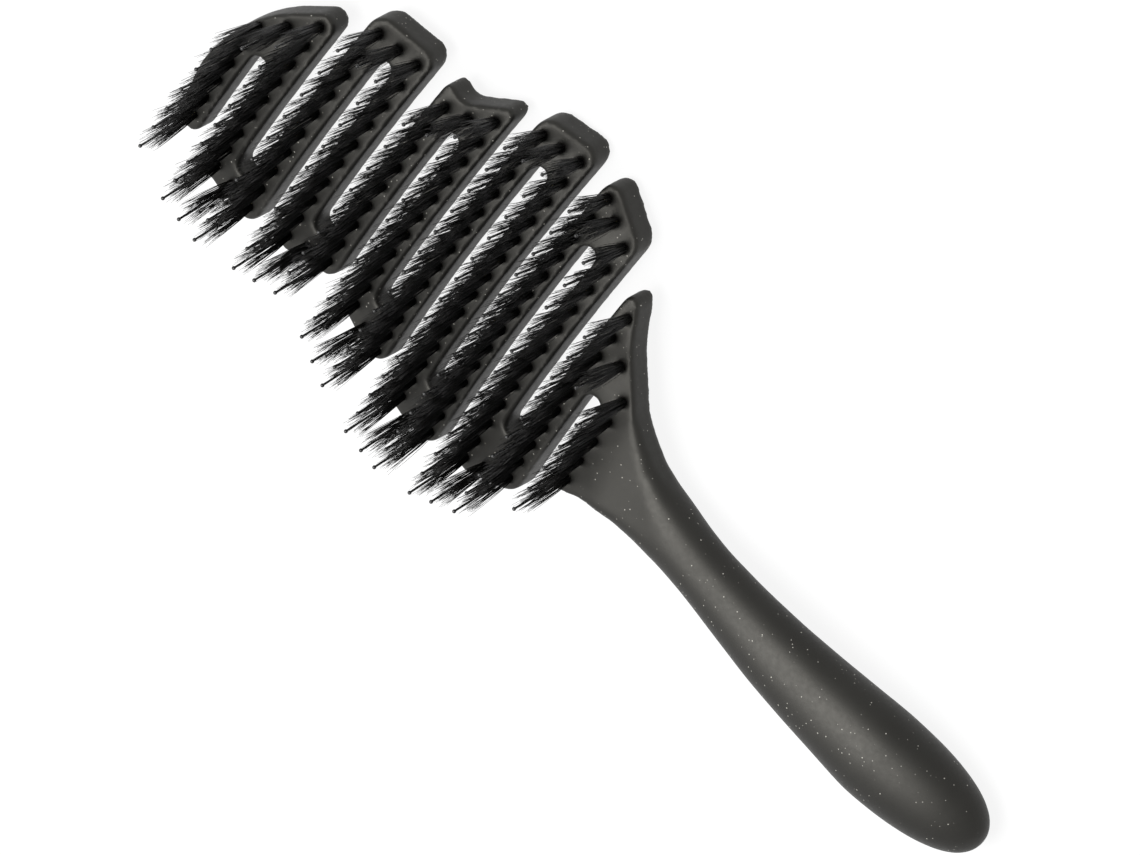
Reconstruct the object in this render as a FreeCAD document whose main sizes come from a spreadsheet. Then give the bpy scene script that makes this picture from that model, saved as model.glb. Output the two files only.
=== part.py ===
"""Vented detangling brush: a one-piece zig-zag moulding with staple-set tufts.

X runs along the brush from the free tip (-X) to the heel of the handle (+X), Y runs along
the bars of the head and Z points the way the bristles stand. The origin is the middle of the
neck, on the axis of the handle. All sizes are in millimetres and degrees.
"""
import FreeCAD
import Part
import math
import os

Vector = FreeCAD.Vector

# Driving sizes

SIZES = {
    # Head plate: twelve bars joined by eleven slots that open on alternate sides
    "slot_width": 4.4,
    "end_bar_offset": 5.2,
    "face_height": 5.0,
    "face_radius": 180.0,
    "crown_y": 10.0,
    "plate_thickness": 7.0,
    # Free tip, measured from the first slot
    "tip_reach": 11.4,
    "tip_belly_y": 2.6,
    "tip_shoulder_reach": 6.2,
    "tip_shoulder_y": 20.4,
    "tip_heel_reach": 7.9,
    "tip_belly_round": 34.0,
    "tip_shoulder_round": 32.0,
    # Scoop in the edge of the third upper lobe, measured from the slot below it
    "scoop_reach": 3.4,
    "scoop_y": 39.9,
    "scoop_round": 4.5,
    # Shoulder from the last upper lobe to the neck
    "shoulder_x": -29.5,
    "shoulder_upper_y": 28.0,
    "shoulder_round": 40.0,
    # Neck and handle: place, width and thickness at each station along X
    "seat_x": -20.0,
    "seat_upper_y": 17.0,
    "seat_lower_y": -9.5,
    "throat_x": -10.0,
    "throat_y": 1.0,
    "throat_z": 0.2,
    "throat_width": 17.4,
    "throat_thickness": 9.4,
    "neck_width": 15.2,
    "neck_thickness": 12.0,
    "waist_x": 13.0,
    "waist_z": 1.8,
    "waist_width": 14.6,
    "waist_thickness": 11.7,
    "grip_x": 36.0,
    "grip_z": 3.5,
    "grip_width": 17.8,
    "grip_thickness": 14.2,
    "belly_x": 67.0,
    "belly_z": 1.8,
    "belly_width": 22.4,
    "belly_thickness": 18.3,
    "heel_x": 96.3,
    "heel_z": -2.2,
    "heel_fullness": 2.3,
    # Tufts: blind holes along the bars, each with a folded bristle tuft, an anchor and a pin
    "tuft_pitch": 6.0,
    "tuft_inset": 4.2,
    "hole_radius": 1.45,
    "hole_depth": 4.5,
    "bristle_height": 16.0,
    "bristle_spread": 4.4,
    "fold_thickness": 0.4,
    "tuft_clearance": 0.05,
    "anchor_thickness": 0.4,
    "anchor_height": 1.0,
    "anchor_clearance": 0.1,
    "pin_diameter": 0.6,
    "pin_height": 19.0,
    "pin_clearance": 0.1,
    "ball_diameter": 1.0,
}

# Slots from the free tip to the handle. For each: its middle along X and where it ends along Y,
# then the outer corners of the lobes on its tip side and its handle side, each with its round.
SLOTS = [
    ("a", -133.0, 12.0, -16.1, 2.4, -21.0, 4.0),
    ("b", -121.9, -14.2, 35.8, 3.0, 41.2, 4.6),
    ("c", -111.0, 33.8, -23.6, 4.0, -21.8, 4.0),
    ("d", -100.4, -9.8, 43.2, 3.4, 42.0, 1.6),
    ("e", -89.6, 33.5, -16.4, 4.0, -19.0, 4.0),
    ("f", -79.6, -12.2, 49.0, 1.8, 52.1, 4.2),
    ("g", -69.9, 42.9, -27.0, 4.0, -29.4, 4.0),
    ("h", -59.6, -17.9, 54.9, 3.6, 54.4, 3.0),
    ("i", -50.5, 38.1, -31.4, 4.0, -30.4, 4.0),
    ("j", -40.2, -10.8, 46.2, 4.0, 42.4, 1.9),
    ("k", -29.3, 13.2, -22.0, 6.0, -13.4, 1.4),
]
SLOT_FIELDS = ("x", "end_y", "tip_side_y", "tip_side_round", "handle_side_y", "handle_side_round")

# Flats across the face, and sides of the tuft holes and pins
FACE_FLATS = 9
HOLE_SIDES = 4
PIN_SIDES = 4
TUFT_CORNER_ANGLE = 40

# Handle sections: round shares of each station across Y and Z, steps between stations, heel steps
ROUND_SHARES = ((0.1, 0.3), (0.4, 0.6), (0.74, 0.84), (0.9, 0.92), (0.9, 0.92), (0.9, 0.92))
STATION_STEPS = (2, 2, 2, 2, 3)
WALL_SHARES = (0, 0.2, 0.8, 1)
HEEL_SHARES = (0.34, 0.58, 0.75, 0.87, 0.95, 0.99)
BEZIER_QUARTER = 0.5523

TOUCHING = 1e-6
PROFILE_MARGIN = 1.2

doc = FreeCAD.newDocument("detangling_brush")
sheet = doc.addObject("Spreadsheet::Sheet", "sizes")


def fill_sheet():
    """One aliased cell for each driving size, with the slots' own sizes after the rest."""
    cells = list(SIZES.items())
    for letter, *values in SLOTS:
        cells += [(f"slot_{letter}_{field}", value) for field, value in zip(SLOT_FIELDS, values)]
    for row, (alias, value) in enumerate(cells, start=1):
        sheet.set(f"A{row}", alias)
        sheet.set(f"B{row}", str(value))
        sheet.setAlias(f"B{row}", alias)
    doc.recompute()


def size(alias):
    return float(sheet.get(alias))


def slot_size(number, field):
    return size(f"slot_{SLOTS[number][0]}_{field}")


def bind(item, formulas):
    """Ties properties of an object to cells of the sheet."""
    for name, formula in formulas.items():
        item.setExpression(name, formula)


fill_sheet()
LAST_SLOT = len(SLOTS) - 1
ROW_TOTAL = len(SLOTS) + 1


# Plan of the head

def bar_x(row):
    """Middle of a bar: midway between its slots, and a fixed way off the first and last slot."""
    if row == 0:
        return slot_size(0, "x") - size("end_bar_offset")
    if row == ROW_TOTAL - 1:
        return slot_size(LAST_SLOT, "x") + size("end_bar_offset")
    return (slot_size(row - 1, "x") + slot_size(row, "x")) / 2


def opens_below(number):
    return number % 2 == 0


def slot_corners(number):
    """Outline points round one slot, in order from the tip side to the handle side."""
    half = size("slot_width") / 2
    x = slot_size(number, "x")
    end_y = slot_size(number, "end_y")
    return [
        (x - half, slot_size(number, "tip_side_y"), slot_size(number, "tip_side_round")),
        (x - half, end_y, half),
        (x + half, end_y, half),
        (x + half, slot_size(number, "handle_side_y"), slot_size(number, "handle_side_round")),
    ]


def tip_corners():
    """Outer edge of the free tip, from its lower end up to the first upper lobe."""
    first = slot_size(0, "x")
    return [
        (first - size("tip_heel_reach"), slot_size(0, "tip_side_y"), slot_size(0, "tip_side_round")),
        (first - size("tip_reach"), size("tip_belly_y"), size("tip_belly_round")),
        (first - size("tip_shoulder_reach"), size("tip_shoulder_y"), size("tip_shoulder_round")),
    ]


def scoop_corner():
    """Lowest point of the scooped edge of the lobe above slot e."""
    return (slot_size(4, "x") - size("scoop_reach"), size("scoop_y"), size("scoop_round"))


def upper_edge():
    """Outer points on the upper side, each slot's own points between them."""
    points = tip_corners()
    for number in range(len(SLOTS)):
        if opens_below(number):
            continue
        points += slot_corners(number)
        if SLOTS[number][0] == "d":
            points.append(scoop_corner())
    points.append((size("shoulder_x"), size("shoulder_upper_y"), size("shoulder_round")))
    points.append((size("seat_x"), size("seat_upper_y"), 0))
    return points


def lower_edge():
    points = []
    for number in range(len(SLOTS)):
        if opens_below(number):
            points += slot_corners(number)
    points.append((size("seat_x"), size("seat_lower_y"), 0))
    return points


def rounded_outline(corners):
    """Lines and tangent arcs of a closed outline whose corners carry their own rounds."""
    points = [Vector(x, y, 0) for x, y, _ in corners]
    joints = []
    for k, (_, _, radius) in enumerate(corners):
        corner = points[k]
        back = (points[k - 1] - corner).normalize()
        ahead = (points[(k + 1) % len(points)] - corner).normalize()
        half_angle = back.getAngle(ahead) / 2
        if radius == 0:
            joints.append((corner, None, corner))
            continue
        run = radius / math.tan(half_angle)
        middle_way = (back + ahead).normalize()
        middle = corner + middle_way * (radius / math.sin(half_angle) - radius)
        joints.append((corner + back * run, middle, corner + ahead * run))
    pieces = []
    for k, (start, middle, end) in enumerate(joints):
        if middle is not None:
            pieces.append(Part.Arc(start, middle, end))
        following = joints[(k + 1) % len(joints)][0]
        if end.distanceToPoint(following) > TOUCHING:
            pieces.append(Part.LineSegment(end, following))
    return pieces


# Head plate

def origin_plane(body, role):
    return [plane for plane in body.Origin.OriginFeatures if plane.Role == role][0]


def sketch_on(body, role, name, geometry):
    sketch = body.newObject("Sketcher::SketchObject", name)
    sketch.AttachmentSupport = [(origin_plane(body, role), "")]
    sketch.MapMode = "FlatFace"
    for piece in geometry:
        sketch.addGeometry(piece, False)
    return sketch


def across(radius, tilt):
    """Height and place across the head, on an arc about the axis that its face curves round."""
    centre_z = size("face_height") - size("face_radius")
    return Vector(size("crown_y") + radius * math.sin(tilt), centre_z + radius * math.cos(tilt), 0)


def side_profile(radius, reach, outside):
    """Closed profile across the head: the flats of its face or back, closed on its outer side."""
    widest = math.asin(reach / radius)
    points = [across(radius, widest * (2 * k / FACE_FLATS - 1)) for k in range(FACE_FLATS + 1)]
    far = points[FACE_FLATS // 2].y + outside
    points += [Vector(points[-1].x, far, 0), Vector(points[0].x, far, 0)]
    return [Part.LineSegment(start, end) for start, end in zip(points, points[1:] + points[:1])]


def pocket_both_ways(body, sketch, name):
    pocket = body.newObject("PartDesign::Pocket", name)
    pocket.Profile = sketch
    pocket.Type = "ThroughAll"
    pocket.Midplane = True
    doc.recompute()


def make_head():
    """Serpentine plate, convex across its width."""
    body = doc.addObject("PartDesign::Body", "head_plate")
    face_radius = size("face_radius")
    back_radius = face_radius - size("plate_thickness")
    outline = upper_edge() + lower_edge()[::-1]
    sketch = sketch_on(body, "XY_Plane", "head_outline", rounded_outline(outline))
    blank = body.newObject("PartDesign::Pad", "head_blank")
    blank.Profile = sketch
    blank.Midplane = True
    bind(blank, {"Length": "2 * sizes.face_radius"})
    doc.recompute()
    reach = PROFILE_MARGIN * max(abs(y - size("crown_y")) for _, y, _ in outline)
    above = sketch_on(body, "YZ_Plane", "face_arc", side_profile(face_radius, reach, blank.Length.Value))
    pocket_both_ways(body, above, "face_cut")
    below = sketch_on(body, "YZ_Plane", "back_arc", side_profile(back_radius, reach, -blank.Length.Value))
    pocket_both_ways(body, below, "back_cut")
    return body


# Neck and handle

def quarter(start, corner, end):
    curve = Part.BezierCurve()
    curve.setPoles([
        start,
        start + (corner - start) * BEZIER_QUARTER,
        end + (corner - end) * BEZIER_QUARTER,
        end,
    ])
    return curve.toShape()


def oval_wire(x, y, z, width, thickness, round_y, round_z):
    """Oval section: straight flats joined by elliptic quarters, given as shares of the halves."""
    half_w = width / 2
    half_t = thickness / 2
    flat_y = half_w * (1 - round_y)
    flat_z = half_t * (1 - round_z)
    edges = []
    for sign_y, sign_z in ((1, 1), (1, -1), (-1, -1), (-1, 1)):
        on_flat = Vector(x, y + sign_y * flat_y, z + sign_z * half_t)
        on_side = Vector(x, y + sign_y * half_w, z + sign_z * flat_z)
        corner = Vector(x, y + sign_y * half_w, z + sign_z * half_t)
        clockwise = sign_y == sign_z
        start, end = (on_flat, on_side) if clockwise else (on_side, on_flat)
        edges.append(quarter(start, corner, end))
    wire = []
    for k, edge in enumerate(edges):
        following = edges[(k + 1) % len(edges)]
        wire.append(edge)
        wire.append(Part.makeLine(edge.Vertexes[-1].Point, following.Vertexes[0].Point))
    return Part.Wire(wire)


def stations():
    """Sections that shape the handle: x, y, z, width, thickness and the shares that are round."""
    seat_width = size("seat_upper_y") - size("seat_lower_y")
    seat_y = (size("seat_upper_y") + size("seat_lower_y")) / 2
    seat_z = size("face_height") - size("plate_thickness") / 2
    throat = [size(f"throat_{field}") for field in ("x", "y", "z", "width", "thickness")]
    named = [
        (size("seat_x"), seat_y, seat_z, seat_width, size("plate_thickness")),
        tuple(throat),
        (0, 0, 0, size("neck_width"), size("neck_thickness")),
    ]
    for place in ("waist", "grip", "belly"):
        sizes = [size(f"{place}_{field}") for field in ("z", "width", "thickness")]
        named.append((size(f"{place}_x"), 0, *sizes))
    return [(*station, *shares) for station, shares in zip(named, ROUND_SHARES)]


def slopes(points):
    """Slope of each value at each station, from the stations on either side of it."""
    result = []
    for k in range(len(points)):
        before = points[max(k - 1, 0)]
        after = points[min(k + 1, len(points) - 1)]
        result.append([(b - a) / (after[0] - before[0]) for a, b in zip(before, after)])
    return result


def between(points, gradients, k, share):
    """Smooth section a share of the way from station k to the next one."""
    run = points[k + 1][0] - points[k][0]
    values = []
    for a, b, slope_a, slope_b in zip(points[k], points[k + 1], gradients[k], gradients[k + 1]):
        lean_a = slope_a * run - (b - a)
        lean_b = (b - a) - slope_b * run
        values.append(a + share * (b - a) + share * (1 - share) * ((1 - share) * lean_a + share * lean_b))
    return values


def handle_sections():
    """Sections from just past the neck's seat to the heel."""
    points = stations()
    gradients = slopes(points)
    sections = []
    for k, steps in enumerate(STATION_STEPS):
        sections += [oval_wire(*between(points, gradients, k, (step + 1) / steps)) for step in range(steps)]
    power = size("heel_fullness")
    belly_x, _, belly_z, width, thickness, round_y, round_z = points[-1]
    for share in HEEL_SHARES:
        scale = (1 - share ** power) ** (1 / power)
        x = belly_x + share * (size("heel_x") - belly_x)
        z = belly_z + share * (size("heel_z") - belly_z)
        sections.append(oval_wire(x, 0, z, width * scale, thickness * scale, round_y, round_z))
    return sections


def neck_seat():
    """Section where the handle meets the head plate: its arcs, and each wall in a middle and two ends."""
    x = size("seat_x")
    crown = size("crown_y")
    corners = []
    arcs = []
    for radius in (size("face_radius"), size("face_radius") - size("plate_thickness")):
        tilts = [math.asin((y - crown) / radius) for y in (size("seat_lower_y"), size("seat_upper_y"))]
        marks = [across(radius, tilt) for tilt in (tilts[0], sum(tilts) / 2, tilts[1])]
        marks = [Vector(x, mark.x, mark.y) for mark in marks]
        arcs.append(Part.Arc(*marks).toShape())
        corners.append((marks[0], marks[2]))
    edges = arcs
    for top, bottom in zip(*corners):
        marks = [top + (bottom - top) * share for share in WALL_SHARES]
        edges += [Part.makeLine(mark, following) for mark, following in zip(marks, marks[1:])]
    return Part.Wire(Part.__sortEdges__(edges))


def make_handle():
    handle = doc.addObject("Part::Feature", "handle_loft")
    handle.Shape = Part.makeLoft([neck_seat()] + handle_sections(), True, True)
    return handle


# Tufts, pins and anchors

def faceted_solid(rings):
    """Flat-sided solid through rings of points; a ring of one point is an apex."""
    faces = [Part.Face(Part.makePolygon(ring + ring[:1])) for ring in (rings[0], rings[-1]) if len(ring) > 2]
    for lower, upper in zip(rings, rings[1:]):
        for k in range(len(lower)):
            after = (k + 1) % len(lower)
            loop = [lower[k], lower[after]]
            loop += [upper[0]] if len(upper) == 1 else [upper[after], upper[k]]
            faces.append(Part.Face(Part.makePolygon(loop + loop[:1])))
    solid = Part.makeSolid(Part.makeShell(faces))
    if solid.Volume < 0:
        solid.reverse()
    return solid


def ring(radius, z, sides):
    """Corners of an even polygon about the Z axis, with a flat side towards +X."""
    step = 2 * math.pi / sides
    angles = [step * (k + 0.5) for k in range(sides)]
    return [Vector(radius * math.cos(angle), radius * math.sin(angle), z) for angle in angles]


def flat_reach(radius, sides):
    """Distance from the middle of an even polygon to its flat sides."""
    return radius * math.cos(math.pi / sides)


def hole_tool():
    """Straight-walled tool for a tuft hole, from its floor to well above the face."""
    hole = doc.addObject("Part::Prism", "tuft_hole")
    hole.Polygon = HOLE_SIDES
    hole.Placement.Rotation = FreeCAD.Rotation(Vector(0, 0, 1), 180 / HOLE_SIDES)
    bind(hole, {
        "Circumradius": "sizes.hole_radius",
        "Height": "sizes.hole_depth + sizes.bristle_height",
        "Placement.Base.z": "-sizes.hole_depth",
    })
    doc.recompute()
    return hole.Shape


def notch_half_width():
    """Half the gap between the two legs of a tuft: the pin and its clearance."""
    return flat_reach(size("pin_diameter") / 2, PIN_SIDES) + size("pin_clearance")


def tuft_master():
    """Bristle tuft folded over its anchor: two legs that spread from the hole to the tips."""
    room = flat_reach(size("hole_radius"), HOLE_SIDES) - size("tuft_clearance")
    mouth_x = room * math.cos(math.radians(TUFT_CORNER_ANGLE))
    mouth_y = room * math.sin(math.radians(TUFT_CORNER_ANGLE))
    top = size("bristle_height")
    bottom = -size("hole_depth")
    tip_x = size("bristle_spread") / 2
    spread_x = (tip_x - mouth_x) / top
    spread_y = spread_x * mouth_y / mouth_x
    notch = notch_half_width()
    fold = bottom + size("fold_thickness")
    leg_x = max(mouth_x + spread_x * fold, notch + size("tuft_clearance"))
    leg_lean = (tip_x - leg_x) / (top - fold)
    profile = [
        (leg_x + leg_lean * (bottom - fold), bottom),
        (tip_x, top),
        (notch, top),
        (notch, fold),
    ]
    profile += [(-x, z) for x, z in profile[::-1]]
    sides = []
    for sign in (1, -1):
        sides.append([Vector(x, sign * (mouth_y + spread_y * z), z) for x, z in profile])
    return faceted_solid(sides)


def anchor_seat():
    return size("fold_thickness") - size("hole_depth")


def anchor_master():
    """Flat metal anchor across the hole, on the fold of the tuft."""
    half_length = f"(sizes.hole_radius * cos(180 deg / {HOLE_SIDES}) - sizes.anchor_clearance)"
    anchor = doc.addObject("Part::Box", "anchor")
    bind(anchor, {
        "Length": "sizes.anchor_thickness",
        "Width": f"2 * {half_length}",
        "Height": "sizes.anchor_height",
        "Placement.Base.x": "-sizes.anchor_thickness / 2",
        "Placement.Base.y": f"-{half_length}",
        "Placement.Base.z": "sizes.fold_thickness - sizes.hole_depth",
    })
    doc.recompute()
    return anchor.Shape


def pin_master():
    """Nylon pin that stands on the anchor and ends in a ball."""
    radius = size("pin_diameter") / 2
    ball = size("ball_diameter") / 2
    top = size("pin_height")
    foot = anchor_seat() + size("anchor_height")
    return faceted_solid([
        ring(radius, foot, PIN_SIDES),
        ring(radius, top - 2 * ball, PIN_SIDES),
        ring(ball, top - ball, PIN_SIDES),
        [Vector(0, 0, top)],
    ])


# Rows of tufts

def edge_y(corners, x):
    """Outer edge of the head at a place along X, from corners that run towards the handle."""
    for (x1, y1, _), (x2, y2, _) in zip(corners, corners[1:]):
        if x1 <= x <= x2:
            return y1 + (y2 - y1) * (x - x1) / (x2 - x1)
    raise ValueError("no edge of the head at this place")


def outer_corners(side_below):
    """Corners of the lobes on one side, without the inner ends of the slots."""
    if side_below:
        numbers = [number for number in range(len(SLOTS)) if opens_below(number)]
        corners = tip_corners()[:1]
    else:
        numbers = [number for number in range(len(SLOTS)) if not opens_below(number)]
        corners = tip_corners()[1:]
    for number in numbers:
        round_slot = slot_corners(number)
        corners += [round_slot[0], round_slot[3]]
        if SLOTS[number][0] == "d":
            corners.append(scoop_corner())
    return corners + (lower_edge()[-1:] if side_below else upper_edge()[-2:])


UPPER_CORNERS = outer_corners(False)
LOWER_CORNERS = outer_corners(True)


def upper_tuft_y(x):
    return edge_y(UPPER_CORNERS, x) - size("tuft_inset")


def lower_tuft_y(x):
    return edge_y(LOWER_CORNERS, x) + size("tuft_inset")


def row_places(row):
    """Tuft places of one bar: an even line between its lobes and the tuft at its bend."""
    x = bar_x(row)
    low = lower_tuft_y(x)
    high = upper_tuft_y(x)
    gaps = max(1, round((high - low) / size("tuft_pitch")))
    places = [(x, low + (high - low) * k / gaps) for k in range(gaps + 1)]
    if row > 0:
        bend_x = slot_size(row - 1, "x")
        bend_y = upper_tuft_y(bend_x) if opens_below(row - 1) else lower_tuft_y(bend_x)
        places.append((bend_x, bend_y))
    return places


def on_face(place):
    """Placement at a point of the curved face, with Z along the face's normal."""
    x, y = place
    radius = size("face_radius")
    tilt = math.asin((y - size("crown_y")) / radius)
    z = size("face_height") - radius + radius * math.cos(tilt)
    return FreeCAD.Placement(Vector(x, y, z), FreeCAD.Rotation(Vector(1, 0, 0), -math.degrees(tilt)))


def copies(master, places):
    solids = [master.transformed(on_face(place).toMatrix(), True) for place in places]
    return Part.makeCompound(solids)


def make_rows(label, master):
    nodes = []
    for row in range(ROW_TOTAL):
        node = doc.addObject("Part::Feature", f"{label}_row_{row + 1:02d}")
        node.Shape = copies(master, row_places(row))
        nodes.append(node)
    return nodes


# Assembly

def make_frame():
    """One moulding of head, neck and handle, with a blind hole for each tuft."""
    head = make_head()
    handle = make_handle()
    moulding = doc.addObject("Part::Fuse", "moulding")
    moulding.Base = head
    moulding.Tool = handle
    holes = doc.addObject("Part::Feature", "tuft_holes")
    holes.Shape = copies(hole_tool(), [place for row in range(ROW_TOTAL) for place in row_places(row)])
    frame = doc.addObject("Part::Cut", "frame")
    frame.Base = moulding
    frame.Tool = holes
    doc.recompute()
    return frame


def check(node):
    if node.Shape.isNull() or not node.Shape.isValid():
        raise ValueError(f"{node.Label} has no valid shape")
    if not node.Shape.Solids:
        raise ValueError(f"{node.Label} has no solid")


def main():
    nodes = [make_frame()]
    nodes += make_rows("bristle_tufts", tuft_master())
    nodes += make_rows("ball_pins", pin_master())
    nodes += make_rows("tuft_anchors", anchor_master())
    doc.recompute()
    for item in doc.Objects:
        if "Invalid" in item.State or "Error" in item.State:
            raise ValueError(f"{item.Label} failed to build")
    os.makedirs("parts", exist_ok=True)
    for node in nodes:
        check(node)
        node.Shape.exportStep(f"parts/{node.Label}.step")
    print("nodes", len(nodes), "tufts", sum(len(row_places(row)) for row in range(ROW_TOTAL)))


main()
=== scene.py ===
"""Looks of the vented detangling brush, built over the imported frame. Lengths are in metres."""
import math
import random

import bmesh
import bpy
import numpy as np
from mathutils import Euler, Matrix, Vector
from mathutils.kdtree import KDTree


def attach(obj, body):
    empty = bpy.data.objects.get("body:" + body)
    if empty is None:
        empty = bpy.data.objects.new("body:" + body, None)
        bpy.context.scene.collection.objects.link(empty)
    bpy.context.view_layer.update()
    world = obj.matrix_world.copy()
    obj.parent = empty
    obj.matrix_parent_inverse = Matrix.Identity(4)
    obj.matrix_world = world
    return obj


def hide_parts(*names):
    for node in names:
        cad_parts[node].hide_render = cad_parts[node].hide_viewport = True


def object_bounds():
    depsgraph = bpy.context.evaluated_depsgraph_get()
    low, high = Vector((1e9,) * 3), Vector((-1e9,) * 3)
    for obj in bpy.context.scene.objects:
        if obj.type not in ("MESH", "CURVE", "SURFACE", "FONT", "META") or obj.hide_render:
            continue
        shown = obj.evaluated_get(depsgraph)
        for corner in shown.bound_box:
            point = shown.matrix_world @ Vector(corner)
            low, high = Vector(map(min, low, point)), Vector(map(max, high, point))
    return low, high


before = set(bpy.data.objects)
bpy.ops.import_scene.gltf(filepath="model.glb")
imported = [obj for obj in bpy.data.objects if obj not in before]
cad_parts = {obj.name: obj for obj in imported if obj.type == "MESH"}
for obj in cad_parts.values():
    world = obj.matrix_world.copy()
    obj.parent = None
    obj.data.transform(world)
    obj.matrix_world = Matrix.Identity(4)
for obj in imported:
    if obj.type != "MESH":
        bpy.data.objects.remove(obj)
cad_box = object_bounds()
BODY = "root"
ROWS = range(1, 13)
WELD = 1e-6

# Moulding: a fine even mesh, made at a turn that no edge of the brush runs along
SKIN_VOXEL = 0.0005
SKIN_TURN = Euler((0.62, 0.44, 0.35)).to_matrix().to_4x4()
SKIN_SMOOTHING = 0.5
SKIN_PASSES = 22

# Tuft holes: their corners, and how far these are drawn in so that the thin walls last
HOLE_CORNER = 0.00145
HOLE_CORNER_SLACK = 0.00002
HOLE_DEPTH_REACH = 0.0055
HOLE_DRAWN_IN = 0.0003

# Handle: where its evening out starts, and over which length it grows to its full share
HANDLE_START = -0.008
HANDLE_BLEND = 0.012
HANDLE_SHARE = 0.5
HANDLE_PASSES = 220

# Bristles
BRISTLES_PER_TUFT = 110
BRISTLE_RADIUS = 0.000075
BRISTLE_TAPER = 0.55
BRISTLE_SIDES = 3
BRISTLE_STEPS = (0.0, 0.4, 0.75, 1.0)
BRISTLE_START = 0.0027
BRISTLE_ROOT = 0.00105
BRISTLE_TIP_ACROSS = 0.0026
BRISTLE_TIP_ALONG = 0.0030
BRISTLE_TIP_STRAY = 0.00025
BRISTLE_SHORTEST = 0.72
BRISTLE_EVENNESS = 0.6
BRISTLE_CURL = 0.0012
TUFT_FOOT_CORNERS = 4
TUFT_TOP_CORNERS = 8

# Pins
PIN_SIDES = 10
PIN_RADIUS = 0.00026
PIN_FOOT_CORNERS = 4
PIN_TOP_CORNERS = 1
BALL_RADIUS = 0.00046
BALL_RINGS = 7

# Textures: the span of a noise that is used, and its layers
NOISE_SPAN = (0.3, 0.7)
BROAD_DETAIL = 3
FINE_DETAIL = 2

# Plastic of the moulding
PLASTIC_SHINE = 0.3
PLASTIC_TINT = (1.0, 0.97, 0.89, 1)
PLASTIC_DARK = (0.006, 0.0059, 0.0054, 1)
PLASTIC_PALE = (0.009, 0.0088, 0.0081, 1)
PLASTIC_TONE_SCALE = 60
PLASTIC_SATIN = 0.44
PLASTIC_DULL = 0.52
PLASTIC_SHEEN_SCALE = 900
GRAIN_SCALE = 2600
GRAIN_STRENGTH = 0.12
GRAIN_DEPTH = 0.00005
FLECK_COLOUR = (0.30, 0.29, 0.26, 1)
FLECK_SCALE = 760
FLECK_EDGE = (0.08, 0.13)
FLECK_CHOICE = (0.30, 0.75)

# Bristle fibre
FIBRE_SHINE = 0.3
FIBRE_SCALE = 1500
FIBRE_TONE_SPAN = (0.35, 0.75)
FIBRE_DARK = 0.003
FIBRE_PALE = (0.014, 0.0132, 0.0125, 1)
FIBRE_GLOSSY = 0.34
FIBRE_DULL = 0.52

# Nylon of the pins
NYLON_SHINE = 0.4
NYLON_SCALE = 700
NYLON_DARK = 0.004
NYLON_PALE = 0.010
NYLON_GLOSSY = 0.22
NYLON_DULL = 0.32

# Brass of the anchors
BRASS_SCALE = 1800
BRASS_DARK = (0.62, 0.47, 0.20, 1)
BRASS_PALE = (0.76, 0.60, 0.30, 1)
BRASS_GLOSSY = 0.25
BRASS_DULL = 0.4

# Stage
SOFTBOX_PLACE = Vector((-0.12, -0.03, 0.8))
SOFTBOX_SIZE = 0.8
SOFTBOX_WATTS = 18
WORLD_LIGHT = 0.2
FLOOR_REACH = 6.0
FLOOR_WHITE = 0.9
FLOOR_GREY = 0.85
FLOOR_ROUGHNESS = 0.9

# Camera
CAMERA_RIGHT = Vector((0.6790, 0.4933, -0.5436))
CAMERA_UP = Vector((-0.7032, 0.6495, -0.2890))
CAMERA_TARGET = Vector((-0.02975, 0.00353, 0.00535))
CAMERA_DISTANCE = 1.0
CAMERA_CLIP = (0.01, 20)
VIEW_WIDTH = 0.2426


# Shapes

def add_object(name, mesh):
    piece = bpy.data.objects.new(name, mesh)
    bpy.context.scene.collection.objects.link(piece)
    return piece


def welded(mesh):
    """A mesh in work, with its double corners joined."""
    work = bmesh.new()
    work.from_mesh(mesh)
    bmesh.ops.remove_doubles(work, verts=work.verts, dist=WELD)
    return work


def solid_parts(node):
    """Corner points of each separate solid of a node, from the lowest to the highest."""
    work = welded(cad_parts[node].data)
    left = set(work.verts)
    parts = []
    while left:
        waiting = [left.pop()]
        found = []
        while waiting:
            vertex = waiting.pop()
            found.append(vertex.co.copy())
            for edge in vertex.link_edges:
                other = edge.other_vert(vertex)
                if other in left:
                    left.remove(other)
                    waiting.append(other)
        parts.append(sorted(found, key=lambda point: point.z))
    work.free()
    return sorted(parts, key=lambda part: (part[0].y, part[0].x))


def middle(points):
    return sum(points, Vector()) / len(points)


def axes_of(node, low_points, high_points):
    """Foot and top of each solid of a node, from its lowest and highest corners."""
    return [(middle(part[:low_points]), middle(part[-high_points:])) for part in solid_parts(node)]


def tuft_axes(row):
    """Foot and top of each tuft of one bar."""
    return axes_of(f"bristle_tufts_row_{row:02d}", TUFT_FOOT_CORNERS, TUFT_TOP_CORNERS)


def tube(points, radii, sides, vertices, faces):
    """Adds a closed tube along points, with a radius at each one, to lists of vertices and faces."""
    first = len(vertices)
    way = (points[-1] - points[0]).normalized()
    side = way.orthogonal().normalized()
    other = way.cross(side)
    for point, radius in zip(points, radii):
        for k in range(sides):
            angle = 2 * math.pi * k / sides
            vertices.append(point + radius * (math.cos(angle) * side + math.sin(angle) * other))
    for ring in range(len(points) - 1):
        low = first + ring * sides
        for k in range(sides):
            after = (k + 1) % sides
            faces.append((low + k, low + after, low + sides + after, low + sides + k))
    last = first + (len(points) - 1) * sides
    faces.append(tuple(range(first + sides - 1, first - 1, -1)))
    faces.append(tuple(range(last, last + sides)))


def mesh_of(name, vertices, faces):
    mesh = bpy.data.meshes.new(name)
    mesh.from_pydata(vertices, [], faces)
    mesh.shade_smooth()
    return add_object(name, mesh)


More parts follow.
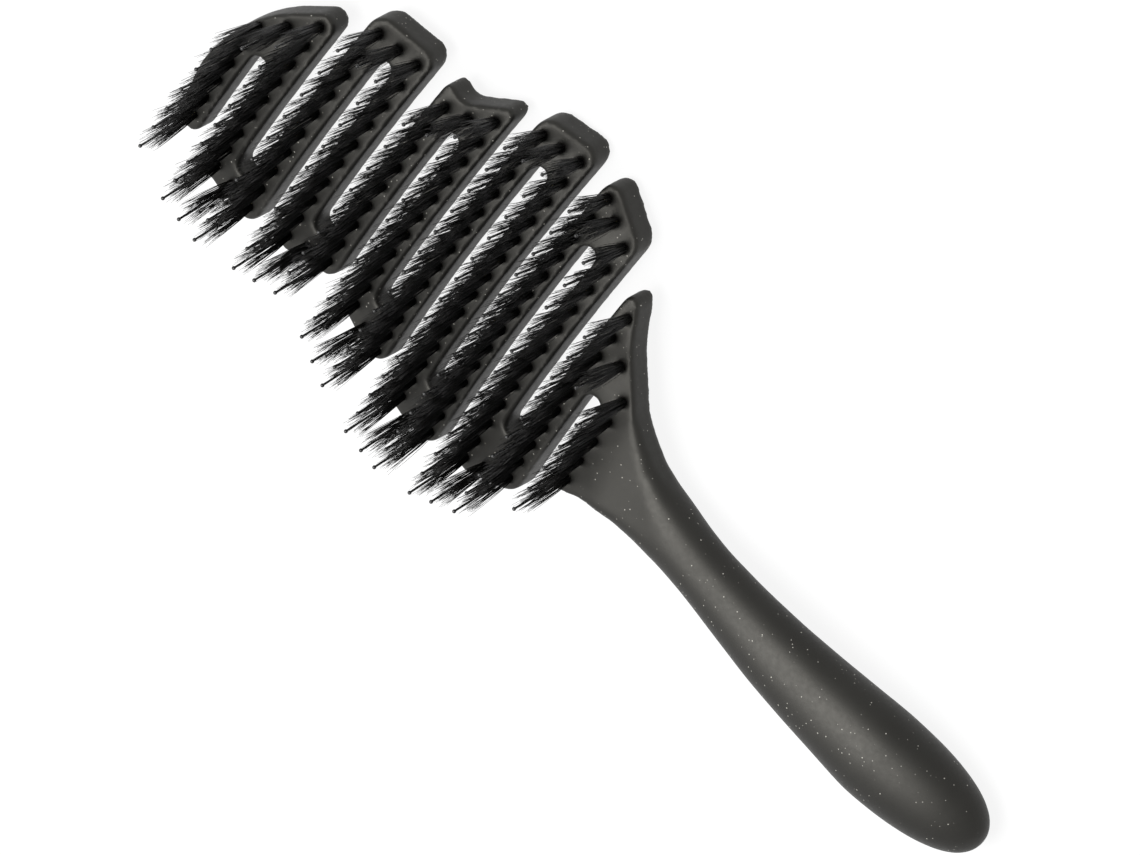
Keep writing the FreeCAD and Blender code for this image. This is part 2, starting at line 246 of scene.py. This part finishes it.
def drawn_in(points, ends, share):
    """Points drawn many times towards the middle of their neighbours, each by its own share."""
    points = points.copy()
    around = np.bincount(ends[:, 0], minlength=len(points))[:, None]
    middles = np.empty_like(points)
    for _ in range(HANDLE_PASSES):
        for axis in range(3):
            middles[:, axis] = np.bincount(ends[:, 0], points[ends[:, 1], axis], len(points))
        points += share * (middles / around - points)
    return points


def even_handle(mesh):
    """Evens out the faint creases along the handle and keeps its girth."""
    points = np.empty(3 * len(mesh.vertices))
    mesh.vertices.foreach_get("co", points)
    points = points.reshape(-1, 3)
    edges = np.empty(2 * len(mesh.edges), dtype=np.int32)
    mesh.edges.foreach_get("vertices", edges)
    edges = edges.reshape(-1, 2)
    ends = np.concatenate((edges, edges[:, ::-1]))
    share = HANDLE_SHARE * np.clip((points[:, :1] - HANDLE_START) / HANDLE_BLEND, 0, 1)
    once = drawn_in(points, ends, share)
    twice = drawn_in(once, ends, share)
    mesh.vertices.foreach_set("co", (2 * once - twice).ravel())
    mesh.update()


def narrow_holes(work):
    """Draws the corners of every tuft hole towards its axis."""
    tree = KDTree(len(work.verts))
    for vertex in work.verts:
        tree.insert(vertex.co, vertex.index)
    tree.balance()
    work.verts.ensure_lookup_table()
    for row in ROWS:
        for foot, top in tuft_axes(row):
            way = (top - foot).normalized()
            for place, index, _ in tree.find_range(foot, HOLE_DEPTH_REACH):
                away = place - foot
                out = away - way * away.dot(way)
                if abs(out.length - HOLE_CORNER) < HOLE_CORNER_SLACK:
                    work.verts[index].co -= out.normalized() * HOLE_DRAWN_IN


def make_skin():
    """The moulding with its rims and the mouths of its holes softened."""
    rough = add_object("frame_rough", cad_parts["frame"].data.copy())
    work = welded(rough.data)
    narrow_holes(work)
    work.transform(SKIN_TURN)
    work.to_mesh(rough.data)
    work.free()
    remesh = rough.modifiers.new("even", "REMESH")
    remesh.mode = "VOXEL"
    remesh.voxel_size = SKIN_VOXEL
    smooth = rough.modifiers.new("soft", "SMOOTH")
    smooth.factor = SKIN_SMOOTHING
    smooth.iterations = SKIN_PASSES
    graph = bpy.context.evaluated_depsgraph_get()
    mesh = bpy.data.meshes.new_from_object(rough.evaluated_get(graph))
    bpy.data.objects.remove(rough)
    mesh.name = "moulding"
    mesh.transform(SKIN_TURN.inverted())
    even_handle(mesh)
    mesh.materials.clear()
    mesh.shade_smooth()
    return add_object("moulding", mesh)


def make_tufts(row):
    """Loose bristles of one bar, spread from each hole to uneven tips."""
    dice = random.Random(row)
    vertices = []
    faces = []
    for foot, top in tuft_axes(row):
        way = (top - foot).normalized()
        across = Vector((1, 0, 0))
        along = way.cross(across)
        mouth = foot + way * BRISTLE_START
        reach = top - mouth
        for _ in range(BRISTLES_PER_TUFT):
            angle = dice.uniform(0, 2 * math.pi)
            share = math.sqrt(dice.random())
            place_x = share * math.cos(angle)
            place_y = share * math.sin(angle)
            root = mouth + across * place_x * BRISTLE_ROOT + along * place_y * BRISTLE_ROOT
            length = dice.uniform(BRISTLE_SHORTEST, 1.0) ** BRISTLE_EVENNESS
            tip = mouth + reach * length
            tip += across * (place_x * BRISTLE_TIP_ACROSS + dice.gauss(0, BRISTLE_TIP_STRAY)) * length
            tip += along * (place_y * BRISTLE_TIP_ALONG + dice.gauss(0, BRISTLE_TIP_STRAY)) * length
            bow = (across * dice.uniform(-1, 1) + along * dice.uniform(-1, 1)) * BRISTLE_CURL
            points = [root.lerp(tip, step) + bow * step * (1 - step) for step in BRISTLE_STEPS]
            radii = [BRISTLE_RADIUS * (1 - BRISTLE_TAPER * step ** 2) for step in BRISTLE_STEPS]
            tube(points, radii, BRISTLE_SIDES, vertices, faces)
    return mesh_of(f"bristles_row_{row:02d}", vertices, faces)


def make_pins(row):
    """Round pins of one bar, each with a ball tip."""
    vertices = []
    faces = []
    neck = math.asin(PIN_RADIUS / BALL_RADIUS)
    for foot, top in axes_of(f"ball_pins_row_{row:02d}", PIN_FOOT_CORNERS, PIN_TOP_CORNERS):
        way = (top - foot).normalized()
        centre = top - way * BALL_RADIUS
        points = [foot]
        radii = [PIN_RADIUS]
        for k in range(BALL_RINGS + 1):
            angle = (math.pi - neck) * (1 - k / BALL_RINGS)
            points.append(centre + way * BALL_RADIUS * math.cos(angle))
            radii.append(BALL_RADIUS * math.sin(angle))
        tube(points, radii, PIN_SIDES, vertices, faces)
    return mesh_of(f"pins_row_{row:02d}", vertices, faces)


# Materials

def new_material(name):
    material = bpy.data.materials.new(name)
    material.use_nodes = True
    return material, material.node_tree.nodes, material.node_tree.links


def noise(nodes, links, place, scale, detail):
    texture = nodes.new("ShaderNodeTexNoise")
    texture.inputs["Scale"].default_value = scale
    texture.inputs["Detail"].default_value = detail
    links.new(place.outputs["Object"], texture.inputs["Vector"])
    return texture


def ramp(nodes, links, source, span, low_colour, high_colour):
    """Two colours spread over a span of the source's values."""
    spread = nodes.new("ShaderNodeValToRGB")
    low, high = spread.color_ramp.elements
    low.position = span[0]
    high.position = span[1]
    low.color = low_colour
    high.color = high_colour
    links.new(source, spread.inputs["Fac"])
    return spread


def join(nodes, links, operation, first, second):
    """Value of a math node that joins two values."""
    joined = nodes.new("ShaderNodeMath")
    joined.operation = operation
    links.new(first, joined.inputs[0])
    links.new(second, joined.inputs[1])
    return joined.outputs["Value"]


def bump(nodes, links, source, strength, distance, shader):
    relief = nodes.new("ShaderNodeBump")
    relief.inputs["Strength"].default_value = strength
    relief.inputs["Distance"].default_value = distance
    links.new(source, relief.inputs["Height"])
    links.new(relief.outputs["Normal"], shader.inputs["Normal"])


def grey(value):
    return (value, value, value, 1.0)


def moulded_plastic():
    """Charcoal satin plastic with a fine grain and sparse pale flecks."""
    material, nodes, links = new_material("moulded_plastic")
    shader = nodes["Principled BSDF"]
    shader.inputs["Specular IOR Level"].default_value = PLASTIC_SHINE
    shader.inputs["Specular Tint"].default_value = PLASTIC_TINT
    place = nodes.new("ShaderNodeTexCoord")
    drift = noise(nodes, links, place, PLASTIC_TONE_SCALE, BROAD_DETAIL)
    tone = ramp(nodes, links, drift.outputs["Fac"], NOISE_SPAN, PLASTIC_DARK, PLASTIC_PALE)
    cells = nodes.new("ShaderNodeTexVoronoi")
    cells.inputs["Scale"].default_value = FLECK_SCALE
    links.new(place.outputs["Object"], cells.inputs["Vector"])
    fleck = ramp(nodes, links, cells.outputs["Distance"], FLECK_EDGE, grey(1), grey(0))
    pick = ramp(nodes, links, cells.outputs["Color"], FLECK_CHOICE, grey(0), grey(1))
    chosen = join(nodes, links, "MULTIPLY", fleck.outputs["Color"], pick.outputs["Color"])
    colour = nodes.new("ShaderNodeMix")
    colour.data_type = "RGBA"
    colour.inputs["B"].default_value = FLECK_COLOUR
    links.new(chosen, colour.inputs["Factor"])
    links.new(tone.outputs["Color"], colour.inputs["A"])
    links.new(colour.outputs["Result"], shader.inputs["Base Color"])
    sheen = noise(nodes, links, place, PLASTIC_SHEEN_SCALE, FINE_DETAIL)
    rough = ramp(nodes, links, sheen.outputs["Fac"], NOISE_SPAN, grey(PLASTIC_SATIN), grey(PLASTIC_DULL))
    links.new(rough.outputs["Color"], shader.inputs["Roughness"])
    grain = noise(nodes, links, place, GRAIN_SCALE, FINE_DETAIL)
    bump(nodes, links, grain.outputs["Fac"], GRAIN_STRENGTH, GRAIN_DEPTH, shader)
    return material


def bristle_fibre():
    """Black bristle with tone and gloss that vary from hair to hair."""
    material, nodes, links = new_material("bristle_fibre")
    shader = nodes["Principled BSDF"]
    shader.inputs["Specular IOR Level"].default_value = FIBRE_SHINE
    place = nodes.new("ShaderNodeTexCoord")
    strand = noise(nodes, links, place, FIBRE_SCALE, FINE_DETAIL)
    tone = ramp(nodes, links, strand.outputs["Fac"], FIBRE_TONE_SPAN, grey(FIBRE_DARK), FIBRE_PALE)
    links.new(tone.outputs["Color"], shader.inputs["Base Color"])
    gloss = ramp(nodes, links, strand.outputs["Fac"], NOISE_SPAN, grey(FIBRE_GLOSSY), grey(FIBRE_DULL))
    links.new(gloss.outputs["Color"], shader.inputs["Roughness"])
    return material


def pin_nylon():
    """Black glossy nylon with a faint cloud in its tone and gloss."""
    material, nodes, links = new_material("pin_nylon")
    shader = nodes["Principled BSDF"]
    shader.inputs["Specular IOR Level"].default_value = NYLON_SHINE
    place = nodes.new("ShaderNodeTexCoord")
    cloud = noise(nodes, links, place, NYLON_SCALE, FINE_DETAIL)
    tone = ramp(nodes, links, cloud.outputs["Fac"], NOISE_SPAN, grey(NYLON_DARK), grey(NYLON_PALE))
    links.new(tone.outputs["Color"], shader.inputs["Base Color"])
    gloss = ramp(nodes, links, cloud.outputs["Fac"], NOISE_SPAN, grey(NYLON_GLOSSY), grey(NYLON_DULL))
    links.new(gloss.outputs["Color"], shader.inputs["Roughness"])
    return material


def anchor_brass():
    """Drawn brass wire, rolled flat."""
    material, nodes, links = new_material("anchor_brass")
    shader = nodes["Principled BSDF"]
    shader.inputs["Metallic"].default_value = 1.0
    place = nodes.new("ShaderNodeTexCoord")
    drawn = noise(nodes, links, place, BRASS_SCALE, BROAD_DETAIL)
    tone = ramp(nodes, links, drawn.outputs["Fac"], NOISE_SPAN, BRASS_DARK, BRASS_PALE)
    links.new(tone.outputs["Color"], shader.inputs["Base Color"])
    gloss = ramp(nodes, links, drawn.outputs["Fac"], NOISE_SPAN, grey(BRASS_GLOSSY), grey(BRASS_DULL))
    links.new(gloss.outputs["Color"], shader.inputs["Roughness"])
    return material


# Brush

def dress(piece, material, node):
    piece.data.materials.append(material)
    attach(piece, BODY)
    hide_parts(node)


def make_brush():
    dress(make_skin(), moulded_plastic(), "frame")
    fibre = bristle_fibre()
    nylon = pin_nylon()
    brass = anchor_brass()
    for row in ROWS:
        dress(make_tufts(row), fibre, f"bristle_tufts_row_{row:02d}")
        dress(make_pins(row), nylon, f"ball_pins_row_{row:02d}")
        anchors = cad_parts[f"tuft_anchors_row_{row:02d}"]
        anchors.data.materials.clear()
        anchors.data.materials.append(brass)


# Stage

def rays_that_see(nodes, links):
    """One for a ray of the camera, a mirror or a clear body, and nought for light that falls."""
    path = nodes.new("ShaderNodeLightPath")
    camera, glossy, clear = (path.outputs[f"Is {kind} Ray"] for kind in ("Camera", "Glossy", "Transmission"))
    return join(nodes, links, "MAXIMUM", camera, join(nodes, links, "MAXIMUM", glossy, clear))


def make_floor():
    """White ground just under the brush, which keeps a faint shadow."""
    level = cad_box[0].z
    corners = [(x * FLOOR_REACH, y * FLOOR_REACH, level) for x, y in ((-1, -1), (1, -1), (1, 1), (-1, 1))]
    mesh = bpy.data.meshes.new("floor")
    mesh.from_pydata(corners, [], [(0, 1, 2, 3)])
    floor = add_object("floor", mesh)
    material, nodes, links = new_material("floor_white")
    lit = nodes["Principled BSDF"]
    lit.inputs["Base Color"].default_value = grey(FLOOR_GREY)
    lit.inputs["Roughness"].default_value = FLOOR_ROUGHNESS
    share = nodes.new("ShaderNodeMath")
    share.operation = "MULTIPLY"
    share.inputs[1].default_value = FLOOR_WHITE
    links.new(rays_that_see(nodes, links), share.inputs[0])
    glow = nodes.new("ShaderNodeEmission")
    glow.inputs["Color"].default_value = grey(1.0)
    mix = nodes.new("ShaderNodeMixShader")
    links.new(share.outputs["Value"], mix.inputs["Fac"])
    links.new(lit.outputs["BSDF"], mix.inputs[1])
    links.new(glow.outputs["Emission"], mix.inputs[2])
    links.new(mix.outputs["Shader"], nodes["Material Output"].inputs["Surface"])
    mesh.materials.append(material)


def make_world():
    world = bpy.data.worlds.new("studio")
    bpy.context.scene.world = world
    world.use_nodes = True
    nodes = world.node_tree.nodes
    links = world.node_tree.links
    light = nodes["Background"]
    light.inputs["Color"].default_value = grey(1.0)
    light.inputs["Strength"].default_value = WORLD_LIGHT
    white = nodes.new("ShaderNodeBackground")
    white.inputs["Color"].default_value = grey(1.0)
    mix = nodes.new("ShaderNodeMixShader")
    links.new(rays_that_see(nodes, links), mix.inputs["Fac"])
    links.new(light.outputs["Background"], mix.inputs[1])
    links.new(white.outputs["Background"], mix.inputs[2])
    links.new(mix.outputs["Shader"], nodes["World Output"].inputs["Surface"])


def make_softbox():
    lamp = bpy.data.lights.new("softbox", "AREA")
    lamp.energy = SOFTBOX_WATTS
    lamp.size = SOFTBOX_SIZE
    softbox = bpy.data.objects.new("softbox", lamp)
    bpy.context.scene.collection.objects.link(softbox)
    softbox.location = CAMERA_TARGET + SOFTBOX_PLACE
    softbox.rotation_euler = (-SOFTBOX_PLACE).to_track_quat("-Z", "Y").to_euler()


def make_camera():
    lens = bpy.data.cameras.new("camera")
    lens.type = "ORTHO"
    lens.ortho_scale = VIEW_WIDTH
    lens.clip_start, lens.clip_end = CAMERA_CLIP
    camera = bpy.data.objects.new("camera", lens)
    bpy.context.scene.collection.objects.link(camera)
    back = CAMERA_RIGHT.cross(CAMERA_UP).normalized()
    turn = Matrix((CAMERA_RIGHT, CAMERA_UP, back)).transposed()
    camera.matrix_world = Matrix.Translation(CAMERA_TARGET + back * CAMERA_DISTANCE) @ turn.to_4x4()
    bpy.context.scene.camera = camera


make_brush()
make_floor()
make_world()
make_softbox()
make_camera()
bpy.context.scene.view_settings.view_transform = "Standard"
